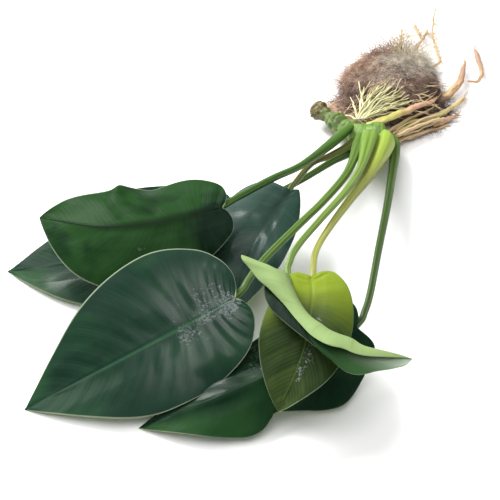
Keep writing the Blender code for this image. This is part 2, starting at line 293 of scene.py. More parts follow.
def makeLeafPattern():
    # midrib, side veins and margin of a blade from its own map: along in X, across in Y
    group, given, result = newGroup(
        "leafPattern",
        [("Map", vectorSocket, None), ("Veins", floatSocket, 12), ("RibWidth", floatSocket, 0.05)],
        [(name, floatSocket) for name in ("Midrib", "Veins", "Fine", "Edge", "Height")],
    )
    along, across = splitPlace(group, given.outputs["Map"])
    out = times(group, apart(group, across, 0.5), 2)
    midrib = stepNode(group, out, given.outputs["RibWidth"], 0)
    fade = times(group, stepNode(group, out, 0.02, 0.1), stepNode(group, out, 1, 0.8))

    def lines(count, width):
        wave = mathNode(group, "FRACT", times(group, along, count))
        distance = apart(group, wave, 0.5)
        return times(group, stepNode(group, distance, width, 0), fade)

    veins = lines(given.outputs["Veins"], 0.06)
    fine = lines(times(group, given.outputs["Veins"], 6), 0.3)
    edge = stepNode(group, out, 0.978, 0.995)
    height = mathNode(group, "MULTIPLY_ADD", fine, -0.1, times(group, veins, -0.22))
    for socket, value in zip(result.inputs, (midrib, veins, fine, edge, height)):
        group.links.new(value, socket)
    return group


def ovalNode(tree, where, along, across, long, wide):
    # 1 in the middle of an oval on a surface map, and 0 at its rim
    x, y = splitPlace(tree, where)
    x = mathNode(tree, "DIVIDE", mathNode(tree, "SUBTRACT", x, along), long)
    y = mathNode(tree, "DIVIDE", mathNode(tree, "SUBTRACT", y, across), wide)
    square = mathNode(tree, "MULTIPLY_ADD", x, x, times(tree, y, y))
    return stepNode(tree, mathNode(tree, "SQRT", square), 1, 0.35)


def makeWetPatch():
    # a film of water broken into beads: strongest inside an oval on the blade's map
    group, given, result = newGroup(
        "wetPatch",
        [("Map", vectorSocket, None), ("Place", vectorSocket, None), ("Along", floatSocket, 0.3),
         ("Across", floatSocket, 0.5), ("Long", floatSocket, 0.2), ("Wide", floatSocket, 0.1)],
        [("Wet", floatSocket), ("Height", floatSocket)],
    )
    oval = [given.outputs[name] for name in ("Along", "Across", "Long", "Wide")]
    inside = ovalNode(group, given.outputs["Map"], *oval)
    beads = noiseNode(group, given.outputs["Place"], 1700, 3, 0.6)
    patches = noiseNode(group, given.outputs["Place"], 170, 2, 0.5)
    raised = mathNode(group, "ADD", times(group, beads, 0.6), times(group, patches, 0.4))
    level = mathNode(group, "MULTIPLY_ADD", inside, -0.11, 0.6)
    wet = stepNode(group, mathNode(group, "SUBTRACT", raised, level), 0, 0.03)
    wet = times(group, wet, stepNode(group, inside, 0, 0.15))
    group.links.new(wet, result.inputs["Wet"])
    group.links.new(times(group, wet, beads), result.inputs["Height"])
    return group


leafPattern = makeLeafPattern()
wetPatch = makeWetPatch()


halfOutline = [
    (0, 0), (-0.035, 0.13), (-0.05, 0.33), (-0.02, 0.57), (0.07, 0.8), (0.2, 0.94), (0.36, 1),
    (0.53, 0.95), (0.69, 0.77), (0.83, 0.49), (0.94, 0.2), (1, 0),
]  # share of the midrib, share of the half width
notchedOutline = [
    (0, 0), (-0.03, 0.3), (-0.02, 0.5), (0.06, 0.77), (0.14, 0.98), (0.22, 1.05), (0.3, 0.98),
    (0.37, 0.84), (0.45, 0.68), (0.485, 0.63), (0.51, 0.7), (0.55, 0.8), (0.6, 0.83), (0.65, 0.77),
    (0.77, 0.52), (0.88, 0.29), (0.955, 0.12), (1, 0),
]  # the front blade's near half
foldedOutline = [
    (0, 0), (-0.083, 0.5), (-0.16, 0.8), (-0.19, 0.92), (-0.155, 0.97), (-0.09, 0.87), (0.02, 0.76),
    (0.11, 0.6), (0.24, 0.38), (0.39, 0.38), (0.5, 0.5), (0.58, 0.6), (0.68, 0.48), (0.78, 0.34),
    (0.9, 0.2), (1, 0),
]  # the half turned over, with its long curled lobe
pinchedOutline = [
    (0, 0), (-0.03, 0.3), (-0.03, 0.6), (0, 0.76), (0.085, 0.94), (0.2, 0.92), (0.3, 0.78),
    (0.43, 0.66), (0.52, 0.7), (0.62, 0.92), (0.73, 0.98), (0.82, 0.7), (0.91, 0.5), (0.97, 0.3),
    (1, 0),
]  # the half below it

# Pairs hold the left half, then the right one; threes hold at base, middle and tip; lengths are in
# millimetres and angles in degrees. "wave" is the margin's amplitude, count and phase. "sheen" and
# "wet" are ovals on the blade's map, as middle and half sizes, with the sheen's strength last.
# The dark and light tones of each blade are mixed over steps along and across its map: painted light, shade
# and sheen.
blades = {
    "blade_raised": {
        "midrib": [(-50, -74, 27), (-59, -76, 26.5), (-69, -78.5, 26), (-82, -79, 25), (-99, -71, 20)],
        "width": ((13.5, 17.5, 17), (15, 15.5, 18)),
        "lift": ((-35, -45, -30), (-5, -5, 25)),
        "widestAt": 0.38, "lobe": 0.8,
        "wave": ((0.5, 2.5, 0.2), (1.2, 2.2, 0.05)),
        "dark": (0.003, 0.013, 0.006), "light": (0.016, 0.054, 0.014), "blotch": 1.3, "glow": 0.12,
        "lightAt": (0, 0.65, -1.5, -0.5), "rib": 0.7, "ribTone": 0.15, "ribWide": 0.16, "edge": 0.7,
        "sheen": (0.3, 0.2, 0.3, 0.2, 0.12), "wet": [(0.6, 0.7, 0.03, 0.02)],
    },
    "blade_low": {
        "midrib": [(-49, -63.5, 12), (-67, -68.5, 9), (-86, -72.5, 4.5), (-109, -72.5, 0.25)],
        "width": ((17, 17, 17), (16, 17, 17)),
        "lift": ((-10, -10, -5), (0, 20, -10)),
        "lobe": 1,
        "wave": ((0.5, 2, 0.5), (0.8, 2, 0.3)),
        "dark": (0.008, 0.028, 0.016), "light": (0.022, 0.064, 0.026), "gloss": 0.4,
        "lightAt": (0.6, 1, 0.4, 0.9), "ribTone": 0.5,
        "sheen": (0.55, 0.8, 0.4, 0.3, 0.5), "wet": [(0.5, 0.7, 0.16, 0.12)],
    },
    "blade_large": {
        "midrib": [
            (-46.5, -101.5, 22), (-55, -104.5, 18), (-69, -108.5, 11.5), (-86, -114.5, 5),
            (-100.5, -120.5, 0.25),
        ],
        "width": ((16, 19, 19), (21, 22, 15)),
        "lift": ((-30, -20, 0), (12, 22, 12)),
        "widestAt": 0.3, "lobe": 0.8,
        "wave": ((0.7, 3, 0.1), (0.6, 2.5, 0.6)),
        "dark": (0.007, 0.027, 0.016), "light": (0.022, 0.072, 0.028),
        "lightAt": (0.6, 0.95, 0.3, -0.2), "ribTone": 1.3, "edge": 0.7,
        "sheen": (0.34, 0.56, 0.42, 0.52, 0.75), "wet": [(0.22, 0.5, 0.36, 0.3), (0.05, 0.85, 0.1, 0.13)],
        "puff": 0.055, "pleats": 17,
    },
    "blade_middle": {
        "midrib": [(-31.5, -56.5, 16), (-37, -67.5, 17), (-44, -80.5, 14), (-48, -96.5, 8)],
        "width": ((4.5, 10, 9), (13, 14, 11)),
        "lift": ((-5, -5, -5), (-5, -5, -5)),
        "widestAt": 0.38, "lobe": 0.1,
        "wave": ((0.3, 2, 0.4), (0.3, 2, 0.1)),
        # painted sheen: both tones are greyed toward teal, and the light one stands in for the brighter sheen
        # on one side
        "dark": (0.02, 0.046, 0.036), "light": (0.074, 0.118, 0.104), "gloss": 0.4, "glow": 0.06,
        "lightAt": (0.75, 0.2, 0.4, -0.2), "ribTone": 0.4,
        "sheen": (0.4, 0.3, 0.6, 0.6, 0.3), "wet": [(0.2, 0.25, 0.2, 0.2)],
    },
    "blade_front": {
        "midrib": [
            (-15, -104.5, 14), (-30, -114.5, 13), (-41, -119.5, 11), (-51, -123.5, 9),
            (-60, -125, 5.5), (-71, -126.5, 0.25),
        ],
        "width": ((15, 15, 15), (17, 12, 10)),
        "lift": ((-42, -46, -5), (15, -8, -25)),
        "outline": (notchedOutline, halfOutline),
        "widestAt": 0.34, "lobe": 0.9,
        "wave": ((1.3, 3.2, 0.55), (0.6, 2, 0)),
        "dark": (0.005, 0.022, 0.01), "light": (0.018, 0.06, 0.018), "blotch": 0.6, "glow": 0.1,
        "lightAt": (0.35, 0.9, 0.5, 0.95), "edge": 0.4,
        "sheen": (0.6, 0.35, 0.3, 0.2, 0.4), "wet": [(0.5, 0.3, 0.2, 0.26)],
    },
    "blade_young": {
        "midrib": [(-27, -98, 26.2), (-27, -106.5, 24), (-29.5, -117.5, 19), (-35.5, -130.5, 12)],
        "width": ((11, 11, 11), (11, 12.5, 14)),
        "lift": ((0, 0, 0), (-10, -6, 0)),
        "lobe": 0.7,
        "wave": ((0.3, 2, 0.4), (0.3, 2, 0.2)),
        # painted light and shadow: the base half is lit through, and the outer half is darkened where the
        # folded blade's shadow falls
        "dark": (0.018, 0.036, 0.01), "light": (0.26, 0.34, 0.03), "blotch": 0.1, "glow": 0.2,
        "lightAt": (0.58, 0.26, -1, -0.5), "rib": 0.3, "ribTone": 0.8,
        "sheen": (0.5, 0.5, 0.3, 0.3, 0.15), "wet": [(0.7, 0.6, 0.2, 0.2)],
    },
    "blade_folded": {
        "midrib": [
            (-33.4, -98.1, 27), (-32.4, -101, 27.2), (-30.6, -107.5, 27.8), (-28, -112.8, 28),
            (-23.8, -117.9, 28.3), (-17.8, -121.2, 28.3), (-14.2, -123.5, 28), (-6, -125.1, 27.3),
            (-3, -126, 27),
        ],
        "width": ((10, 10, 10), (7.6, 7.6, 7.6)),
        "lift": ((165, 152, 135), (-14, -14, -22)),
        "curl": (-70, 0),
        "outline": (foldedOutline, pinchedOutline),
        "lobe": 1,
        "wave": ((0.15, 2.5, 0.3), (0.25, 3, 0.3)),
        "dark": (0.003, 0.012, 0.006), "light": (0.034, 0.095, 0.028), "blotch": 0.3, "gloss": 0.48,
        "glow": 0.1, "lightAt": (0.5, 0.7, -2, -1), "rib": 0.1,
        "under": (0.27, 0.37, 0.15), "tip": (0.44, 0.52, 0.42),
        "sheen": (0.3, 0.5, 0.1, 0.1, 0.1), "wet": [(0.3, 0.5, 0.02, 0.02)],
    },
}
bladeUsual = {
    "outline": (halfOutline, halfOutline), "widestAt": 0.36, "curl": (0, 0), "puff": 0.07,
    "blotch": 0.5, "gloss": 0.42, "glow": 0.08, "rib": 0.5, "ribTone": 0.6, "ribWide": 0.05, "edge": 0.3,
    "under": (0.26, 0.36, 0.14),
}
bladeMake = {
    "ribs": 150, "across": 40, "thickness": 0.34, "arch": 0.7, "groove": 0.28, "grooveWidth": 0.5,
    "outlineWidest": 0.36, "samples": 201, "outlineSamples": 241, "veins": 8, "bands": 10, "undulation": 0.4,
    # the film colour is the pale grey-blue painted on wet patches as their sheen
    "margin": (0.36, 0.42, 0.3), "film": (0.16, 0.21, 0.21), "paintedSheenShare": 0.22, "beads": 1.6,
}


def threeWay(values, share):
    # a parabola through values at shares 0, 0.5 and 1
    base, middle, tip = values
    share = np.clip(share, 0, 1)
    ends = base * (1 - share) * (1 - 2 * share) + tip * share * (2 * share - 1)
    return ends + 4 * middle * share * (1 - share)


def noiseOver(first, second, seed):
    # smooth random values over two running numbers
    return noiseAt(np.stack([first, second, first * 0], axis=1), 1, seed)


def bladePlaces(values, rib, across, seed):
    # places on a blade's middle surface; across runs from -1, the right margin, to 1, the left one
    bend = math.log(values["widestAt"]) / math.log(bladeMake["outlineWidest"])
    count = bladeMake["outlineSamples"]
    leftHalf = across > 0
    margin = np.zeros((len(rib), 2))
    for half, chosen in zip(values["outline"], (leftHalf, ~leftHalf)):
        outline = smoothCurve([(x ** bend if x > 0 else x * values["lobe"], y) for x, y in half], count)
        for column in (0, 1):
            margin[chosen, column] = np.interp(rib[chosen], np.linspace(0, 1, count), outline[:, column])
    midrib = smoothCurve(values["midrib"], bladeMake["samples"])
    length = np.linalg.norm(np.diff(midrib, axis=0), axis=1).sum()
    out = np.abs(across)
    start = rib ** 2
    bendX = start + 0.3 * (margin[:, 0] - start)
    x = (1 - out) ** 2 * start + 2 * out * (1 - out) * bendX + out ** 2 * margin[:, 0]
    y = 2 * out * (1 - out) * 0.56 * margin[:, 1] + out ** 2 * margin[:, 1]
    along = np.gradient(midrib, axis=0)
    along = np.stack([np.convolve(np.pad(c, 10, "edge"), np.ones(21) / 21, "valid") for c in along.T], axis=1)
    along /= np.linalg.norm(along, axis=1)[:, None]
    up = np.array([0, 0, 1]) - along[:, 2:] * along
    up /= np.linalg.norm(up, axis=1)[:, None]
    shares = np.linspace(0, 1, bladeMake["samples"])

    def at(table):
        return np.stack([np.interp(x, shares, column) for column in table.T], axis=1)

    def ofHalf(key):
        return np.where(leftHalf, *(threeWay(three, x) for three in values[key]))

    place = at(midrib) + np.where(x < 0, x * length, 0)[:, None] * along[0]
    lift = np.radians(ofHalf("lift") + np.where(leftHalf, *values["curl"]) * (1 - out))
    reach = y * ofHalf("width")
    side = at(np.cross(up, along)) * np.where(leftHalf, 1, -1)[:, None]
    above = at(up)
    outward = side * np.cos(lift)[:, None] + above * np.sin(lift)[:, None]
    facing = -side * np.sin(lift)[:, None] + above * np.cos(lift)[:, None]
    size, count, phase = (np.where(leftHalf, *both) for both in zip(*values["wave"]))
    rise = bladeMake["arch"] * 4 * y * (1 - y) * np.clip(y * 3, 0, 1)
    rise += size * y ** 2.2 * np.sin(2 * math.pi * (count * x + phase))
    groove = bladeMake["groove"] * np.exp(-(reach / bladeMake["grooveWidth"]) ** 2)
    rise -= groove * (1 - 0.6 * np.clip(x, 0, 1))
    drift = 0.35 * noiseOver(rib * 5, across * 0.8, seed + 8)
    band = np.cos(2 * math.pi * (rib * values.get("pleats", bladeMake["veins"]) + drift))
    band = band * (1 + noiseOver(rib * 9, across * 1.5, seed + 3))
    window = smoothStep(0.04, 0.25, out) * smoothStep(1, 0.75, out)
    rise += values["puff"] * band * window * smoothStep(0, 0.1, rib) * smoothStep(1, 0.85, rib)
    rise += bladeMake["undulation"] * noiseAt(place + outward * reach[:, None], 0.13, seed) * window
    place = place + outward * reach[:, None] + facing * rise[:, None]
    place[:, 2] = np.maximum(place[:, 2], bladeMake["thickness"] / 2 + 0.02)
    return place


def makeBladeMesh(name, values, seed):
    shape = bmesh.new()
    bmesh.ops.create_grid(shape, x_segments=bladeMake["ribs"], y_segments=2 * bladeMake["across"], size=1)
    rib = np.array([(vert.co.x + 1) / 2 for vert in shape.verts])
    across = np.array([vert.co.y for vert in shape.verts])
    mapGrid(shape, "bladeMap")
    for vert, place in zip(shape.verts, bladePlaces(values, rib, across, seed)):
        vert.co = place * mm
    bmesh.ops.remove_doubles(shape, verts=shape.verts, dist=0.01 * mm)
    return meshFrom(shape, name)


def scaledTone(tone, share):
    return tuple(share * part for part in tone)


def leafShader(name, values, under=False):
    # a waxy blade: veins, soft blotches, a sheen in one place and a wet film in another
    made, tree, shader = newMaterial(
        name, values["gloss"], IOR=1.45, Specular_IOR_Level=0.06, Coat_Roughness=0.18,
    )
    where = mapPlace(tree, "bladeMap")
    place = objectPlace(tree)
    pattern = useGroup(tree, leafPattern, Map=where, Veins=bladeMake["veins"], RibWidth=values["ribWide"])
    along, across = splitPlace(tree, where)
    broad = noiseNode(tree, place, 55, 3, 0.55)
    stretch = (values.get("pleats", bladeMake["bands"]), 1.3, 1)
    bands = noiseNode(tree, stretchNode(tree, where, stretch), 1, 3, 0.6, 0.4)
    speck = noiseNode(tree, place, 900, 3, 0.6)
    # painted light and shade: the blade goes from its dark to its light tone over steps along and across its
    # map, standing in for light on and through it and for shadows cast on it; the blotch noise added next is
    # its own uneven tone
    lightAt = values["lightAt"]
    share = times(tree, stepNode(tree, along, *lightAt[:2]), stepNode(tree, across, *lightAt[2:]))
    for uneven in (stepNode(tree, broad, 0.35, 0.65, -0.5, 0.5), mathNode(tree, "SUBTRACT", bands, 0.5)):
        share = mathNode(tree, "MULTIPLY_ADD", uneven, values["blotch"], share)
    share = mathNode(tree, "ADD", share, 0, clamp=True)
    if under:
        # painted shade: the underside is darkened to four fifths in broad noise patches
        colour = mixNode(tree, stepNode(tree, broad, 0.3, 0.7), values["under"], scaledTone(values["under"], 0.8))
        rib = scaledTone(values["under"], 0.5)
    else:
        colour = mixNode(tree, share, values["dark"], values["light"])
        rib = tuple(0.8 * (a + b) for a, b in zip(values["dark"], values["light"]))
        if "tip" in values:
            colour = mixNode(tree, stepNode(tree, along, 0.7, 0.97), colour, values["tip"])
    colour = mixNode(tree, times(tree, pattern["Veins"], 0.25 if under else 0.1), colour, rib)
    colour = mixNode(tree, times(tree, pattern["Fine"], 0.05), colour, rib)
    midrib = scaledTone(rib, values["ribTone"])
    colour = mixNode(tree, times(tree, pattern["Midrib"], values["rib"]), colour, midrib)
    colour = mixNode(tree, times(tree, pattern["Edge"], values["edge"]), colour, bladeMake["margin"])
    colour = mixNode(tree, 0.12, colour, mixNode(tree, speck, (0, 0, 0), (0.3, 0.5, 0.2)), "SOFT_LIGHT")
    height = mathNode(tree, "MULTIPLY_ADD", speck, 0.1, pattern["Height"])
    if under:
        shader.inputs["Roughness"].default_value = 0.5
        plug(tree, bumpNode(tree, height, 0.00012, 0.6), shader.inputs["Normal"])
    else:
        wet, beads = 0, 0
        for oval in values["wet"]:
            sizes = dict(zip(("Along", "Across", "Long", "Wide"), oval))
            film = useGroup(tree, wetPatch, Map=where, Place=place, **sizes)
            wet = mathNode(tree, "MAXIMUM", wet, film["Wet"])
            beads = mathNode(tree, "MAXIMUM", beads, film["Height"])
        # painted reflection: wet patches are tinted pale grey-blue for the film's sheen, on top of their real
        # coat
        colour = mixNode(tree, times(tree, wet, bladeMake["paintedSheenShare"]), colour, bladeMake["film"])
        oval = ovalNode(tree, where, *values["sheen"][:4])
        smooth = times(tree, oval, stepNode(tree, bands, 0.34, 0.66, 0.3, 1))
        smooth = times(tree, smooth, values["sheen"][4])
        plug(tree, mathNode(tree, "MAXIMUM", smooth, wet), shader.inputs["Coat Weight"])
        rough = mathNode(tree, "MULTIPLY_ADD", wet, -values["gloss"] * 0.7, values["gloss"], clamp=True)
        plug(tree, rough, shader.inputs["Roughness"])
        height = mathNode(tree, "MULTIPLY_ADD", beads, bladeMake["beads"], height)
        plug(tree, bumpNode(tree, height, 0.00018, 0.8), shader.inputs["Normal"])
    plug(tree, colour, shader.inputs["Base Color"])
    glow = tree.nodes.new("ShaderNodeBsdfTranslucent")
    plug(tree, mixNode(tree, 1, colour, (1.9, 1.9, 0.9), "MULTIPLY"), glow.inputs["Color"])
    blend = tree.nodes.new("ShaderNodeMixShader")
    blend.inputs["Fac"].default_value = values["glow"]
    tree.links.new(shader.outputs["BSDF"], blend.inputs[1])
    tree.links.new(glow.outputs["BSDF"], blend.inputs[2])
    tree.links.new(blend.outputs["Shader"], tree.nodes["Material Output"].inputs["Surface"])
    return made


def edgeShader():
    made, tree, shader = newMaterial("bladeEdge", 0.45)
    tone = noiseNode(tree, objectPlace(tree), 300, 2)
    plug(tree, mixNode(tree, tone, (0.12, 0.2, 0.06), (0.3, 0.38, 0.18)), shader.inputs["Base Color"])
    return made


bladeEdge = edgeShader()
for seed, (name, own) in enumerate(blades.items()):
    values = {**bladeUsual, **own}
    top = leafShader(name + "Top", values)
    under = leafShader(name + "Under", values, under=True)
    mesh = makeBladeMesh(name + "_leaf", values, seed * 3.7)
    slotName = "young_blade" if name == "blade_young" else "blade"
    piece = newPiece(name + "_leaf", mesh, (top, under, bladeEdge), name)
    wall = piece.modifiers.new("wall", "SOLIDIFY")
    wall.thickness = bladeMake["thickness"] * mm
    wall.offset = 0
    wall.material_offset = 1
    wall.material_offset_rim = 2
print("blades made")


# A stalk's route runs from the crown to its blade and on under the midrib. "radius" holds at the
# foot, at each third and at the top; "green" is its colour at the foot, half way and at the top.
stalks = {
    "stalk_raised": {
        "route": [
            (-14, -24.5, 9), (-20, -35, 12.5), (-28.5, -48, 17), (-37, -57.5, 21), (-47.5, -69.5, 25),
            (-50.5, -72.5, 25.3),
        ],
        "radius": (2, 1.1, 1, 0.9), "sheath": 1.8, "sheathTo": 0.26,
        "green": [(0.08, 0.17, 0.022), (0.034, 0.085, 0.015), (0.04, 0.095, 0.018)],
    },
    "stalk_middle": {
        "route": [(-14, -29.5, 7), (-20, -36.5, 9.5), (-25.5, -42.5, 12), (-31.5, -54.5, 14.5)],
        "radius": (1.2, 0.9, 0.8, 0.75), "sheath": 1.4, "sheathTo": 0.2,
        "green": [(0.1, 0.14, 0.025), (0.12, 0.11, 0.03), (0.05, 0.09, 0.018)],
    },
    "stalk_low": {
        "route": [
            (-12, -28, 4.5), (-19.5, -34.5, 5), (-28.5, -43.5, 6.5), (-39.5, -53.5, 8.5),
            (-46.5, -60, 10.5),
        ],
        "radius": (1.2, 0.95, 0.85, 0.8), "sheath": 1.6, "sheathTo": 0.2,
        "green": [(0.045, 0.1, 0.018), (0.04, 0.08, 0.016), (0.04, 0.1, 0.02)],
    },
    "stalk_large": {
        "route": [
            (-11, -30, 9.5), (-15.5, -48, 14.5), (-22.5, -63, 18.5), (-29.5, -74.5, 21),
            (-39.5, -89, 22), (-45.5, -99, 20.5),
        ],
        "radius": (1.4, 1.1, 1, 1), "sheath": 2, "sheathTo": 0.24,
        "green": [(0.085, 0.16, 0.022), (0.08, 0.145, 0.022), (0.065, 0.135, 0.024)],
    },
    "stalk_folded": {
        "route": [
            (-8.5, -31, 11.5), (-12, -48.5, 16.5), (-17, -62, 20.5), (-24, -75.5, 24),
            (-31, -88.5, 26), (-33.3, -96.5, 25.5),
        ],
        "radius": (1.7, 1.1, 0.95, 0.85), "sheath": 2.7, "sheathTo": 0.36,
        "green": [(0.15, 0.28, 0.03), (0.13, 0.2, 0.035), (0.16, 0.26, 0.055)],
    },
    "stalk_young": {
        "route": [
            (-4.5, -29.5, 8.5), (-9, -46, 12.5), (-15, -60.5, 17), (-21.5, -76, 21.5),
            (-25.5, -87.5, 24.5), (-26.5, -96.5, 25),
        ],
        "radius": (2.6, 1.5, 1, 0.85), "sheath": 3.9, "sheathTo": 0.4,
        "green": [(0.24, 0.37, 0.04), (0.3, 0.31, 0.065), (0.36, 0.36, 0.08)],
    },
    "stalk_front": {
        "route": [
            (-1, -26.5, 5.5), (-3.5, -49.5, 9), (-8, -75, 11.5), (-11.5, -94, 13),
            (-14.5, -102.5, 12.5),
        ],
        "radius": (1.7, 1.15, 1, 0.95), "sheath": 1.8, "sheathTo": 0.3,
        "green": [(0.08, 0.145, 0.024), (0.028, 0.06, 0.014), (0.048, 0.092, 0.024)],
    },
}
stalkMake = {
    "rows": 170, "sides": 32, "groove": 0.16, "sheath": 0.1, "sheathEnd": 0.34, "ribReach": 0.62,
    # the last colour is the pale green painted as highlights along the groove's edges
    "ribEnd": 0.22, "lastRoot": 49, "ridgeHighlight": (0.3, 0.4, 0.14),
}


def stalkSection(turn, share):
    # a groove along the upper side, opening at the foot into a sheath with two thin edges
    foot = smoothStep(stalkMake["sheathEnd"], 0, share)
    stem = smoothStep(0.98, 0.7, share)
    upper = np.angle(np.exp(1j * (turn - math.pi / 2)))
    groove = stalkMake["groove"] * stem + stalkMake["sheath"] * foot
    groove = groove * np.exp(-(upper / (0.34 + 0.25 * foot)) ** 2)
    edges = 0.07 * foot * (np.exp(-((upper - 0.85) / 0.22) ** 2) + np.exp(-((upper + 0.85) / 0.22) ** 2))
    ribs = 0.02 * np.cos(turn * 9) * stem
    return 1 - groove + edges + ribs


def stalkShader(name, values):
    made, tree, shader = newMaterial(name, 0.38, IOR=1.45, Specular_IOR_Level=0.3)
    where = mapPlace(tree, "tubeMap")
    along, around = splitPlace(tree, where)
    foot, half, top = values["green"]
    tone = mixNode(tree, stepNode(tree, along, 0, 0.3), foot, half)
    tone = mixNode(tree, stepNode(tree, along, 0.35, 0.68), tone, top)
    streak = noiseNode(tree, stretchNode(tree, where, (2, 11, 1)), 1, 4, 0.65)
    strength = stepNode(tree, along, 0.02, 0.3, 0.15, 0.65)
    tone = mixNode(tree, times(tree, stepNode(tree, streak, 0.42, 0.66), strength), tone, scaledTone(half, 0.4))
    tone = mixNode(tree, stepNode(tree, streak, 0.6, 0.4, 0, 0.14), tone, scaledTone(foot, 1.8))
    fleck = noiseNode(tree, objectPlace(tree), 700, 3, 0.6)
    # painted shade along the groove on the stalk's upper side, broken up by the streaks
    away = apart(tree, around, 0.25)
    broken = stepNode(tree, streak, 0.38, 0.62, 0.05, 0.45)
    tone = mixNode(tree, times(tree, stepNode(tree, away, 0.075, 0), broken), tone, scaledTone(half, 0.35))
    # painted highlights: pale lines along both edges of the groove
    ridgeHighlight = stepNode(tree, apart(tree, away, 0.09), 0.035, 0)
    ridgeHighlight = times(tree, ridgeHighlight, broken)
    tone = mixNode(tree, times(tree, ridgeHighlight, stepNode(tree, along, 0.02, 0.2)), tone, stalkMake["ridgeHighlight"])
    height = mathNode(tree, "MULTIPLY_ADD", fleck, 0.25, streak)
    finishSkin(tree, shader, tone, fleck, (0.3, 0.46), height, 0.00012, 0.6)
    shader.inputs["Subsurface Weight"].default_value = 0.12
    shader.inputs["Subsurface Radius"].default_value = (0.0012, 0.0022, 0.0005)
    return made


rhizome = {
    "axis": [(-24, -11.5, 5.5), (-19, -16.5, 5.5), (-15, -21, 6), (-10.5, -25, 6.5), (-3, -26, 7)],
    "radii": [2.2, 2.7, 2.4, 1.9, 2.9, 3.1, 2.6, 3.4, 3, 3.7, 3.6, 4.2, 4.2, 3.6],
    "rows": 150, "sides": 64, "rings": 13, "ring": 0.24, "lump": 0.6,
}


def makeRhizome():
    line = smoothCurve(rhizome["axis"], rhizome["rows"])
    radii = spread(rhizome["radii"], rhizome["rows"])

    def section(turn, share):
        ring = np.abs(np.sin(math.pi * (share * rhizome["rings"] + 0.12 * np.sin(turn)))) ** 0.5
        where = np.stack([np.cos(turn) * 2.2, np.sin(turn) * 2.2, share * 16], axis=1)
        scaly = smoothStep(0.26, 0.05, share)
        young = smoothStep(0.78, 0.5, share)
        rough = noiseAt(where, 1, 4) * (rhizome["lump"] * 0.25) + noiseAt(where, 3.2, 9) * 0.05
        scales = np.abs(noiseAt(where, 3.6, 2)) * 0.22 * scaly
        return 1 - rhizome["ring"] * young * (1 - ring) + rough * (0.3 + 0.7 * young) + scales

    mesh = rollTube("rhizome_body", line, radii, rhizome["sides"], section, poleRows=8)
    made, tree, shader = newMaterial("rhizomeSkin", 0.5)
    along, around = splitPlace(tree, mapPlace(tree, "tubeMap"))
    place = objectPlace(tree)
    patch = noiseNode(tree, place, 260, 4, 0.6)
    fine = noiseNode(tree, place, 1100, 4, 0.7)
    green = mixNode(tree, stepNode(tree, along, 0.25, 0.8), (0.095, 0.15, 0.034), (0.13, 0.25, 0.03))
    bark = mixNode(tree, stepNode(tree, fine, 0.35, 0.65), (0.035, 0.022, 0.01), (0.26, 0.2, 0.06))
    edge = mathNode(tree, "MULTIPLY_ADD", patch, 0.22, mathNode(tree, "SUBTRACT", along, 0.11))
    tone = mixNode(tree, stepNode(tree, edge, 0.1, 0.24), bark, green)
    ring = mathNode(tree, "FRACT", times(tree, along, float(rhizome["rings"])))
    for mask, low, high, most, stain in (
        (apart(tree, ring, 0.5), 0.38, 0.5, 0.6, (0.035, 0.05, 0.015)),
        (patch, 0.5, 0.66, 0.55, (0.2, 0.21, 0.06)),
        (patch, 0.46, 0.34, 0.5, (0.035, 0.045, 0.015)),
    ):
        tone = mixNode(tree, stepNode(tree, mask, low, high, 0, most), tone, stain)
    finishSkin(tree, shader, tone, fine, (0.36, 0.62), mathNode(tree, "ADD", fine, patch), 0.0003)
    newPiece("rhizome_body", mesh, (made,), "rhizome")


makeRhizome()
print("rhizome made")


def makeStalk(name, values):
    # grows from the rhizome's nearest place and thins out under the blade's midrib
    crown = smoothCurve(rhizome["axis"], 60)
    nearest = np.argmin(np.linalg.norm(crown - np.array(values["route"][0]), axis=1))
    stem = smoothCurve([crown[min(nearest, stalkMake["lastRoot"])], *values["route"]], 60)
    midrib = smoothCurve(blades[name.replace("stalk", "blade")]["midrib"], 41)
    midrib = midrib[2:int(41 * stalkMake["ribReach"])] - np.array([0, 0, values["radius"][-1] + 0.35])
    route = np.vstack([stem[:-1], midrib])
    line = smoothCurve(route[::2], stalkMake["rows"])
    cut = len(stem) / len(route)
    shares = np.linspace(0, 1, stalkMake["rows"])
    thick = np.interp(shares / cut, np.linspace(0, 1, 60), spread(values["radius"], 60))
    sheath = smoothStep(values["sheathTo"], 0.05, shares / cut)
    thick = thick + (values["sheath"] - values["radius"][0]) * sheath
    thick = thick * (0.6 + 0.4 * smoothStep(0, 0.1, shares / cut))
    under = smoothStep(cut, 1, shares)
    thick = np.where(shares < cut, thick, values["radius"][-1] * (1 - under) + stalkMake["ribEnd"] * under)
    line[:, 2] = np.maximum(line[:, 2], thick + 0.02)
    mesh = rollTube(
        name + "_stem", line, thick, stalkMake["sides"], lambda turn, share: stalkSection(turn, share / cut),
    )
    newPiece(name + "_stem", mesh, (stalkShader(name + "Skin", values),), name)


for name, values in stalks.items():
    makeStalk(name, values)
print("stalks made")


def rootShader(name, pale, deep, stain, end=None):
    # a root's skin: streaks along it, with stained blotches and another tone toward its end
    made, tree, shader = newMaterial(name, 0.55)
    where, place = mapPlace(tree, "tubeMap"), objectPlace(tree)
    streak = noiseNode(tree, stretchNode(tree, where, (6, 9, 1)), 1, 4, 0.6)
    patch = noiseNode(tree, place, 190, 3, 0.6)
    fine = noiseNode(tree, place, 1300, 3, 0.6)
    tone = mixNode(tree, stepNode(tree, streak, 0.32, 0.66), pale, deep)
    if end:
        along = mathNode(tree, "MULTIPLY_ADD", streak, 0.4, splitPlace(tree, where)[0])
        tone = mixNode(tree, stepNode(tree, along, 0.55, 0.85), tone, end)
    tone = mixNode(tree, stepNode(tree, patch, 0.48, 0.72, 0, 0.7), tone, stain)
    finishSkin(tree, shader, tone, fine, (0.42, 0.66), mathNode(tree, "ADD", fine, streak), 0.0002)
    return made


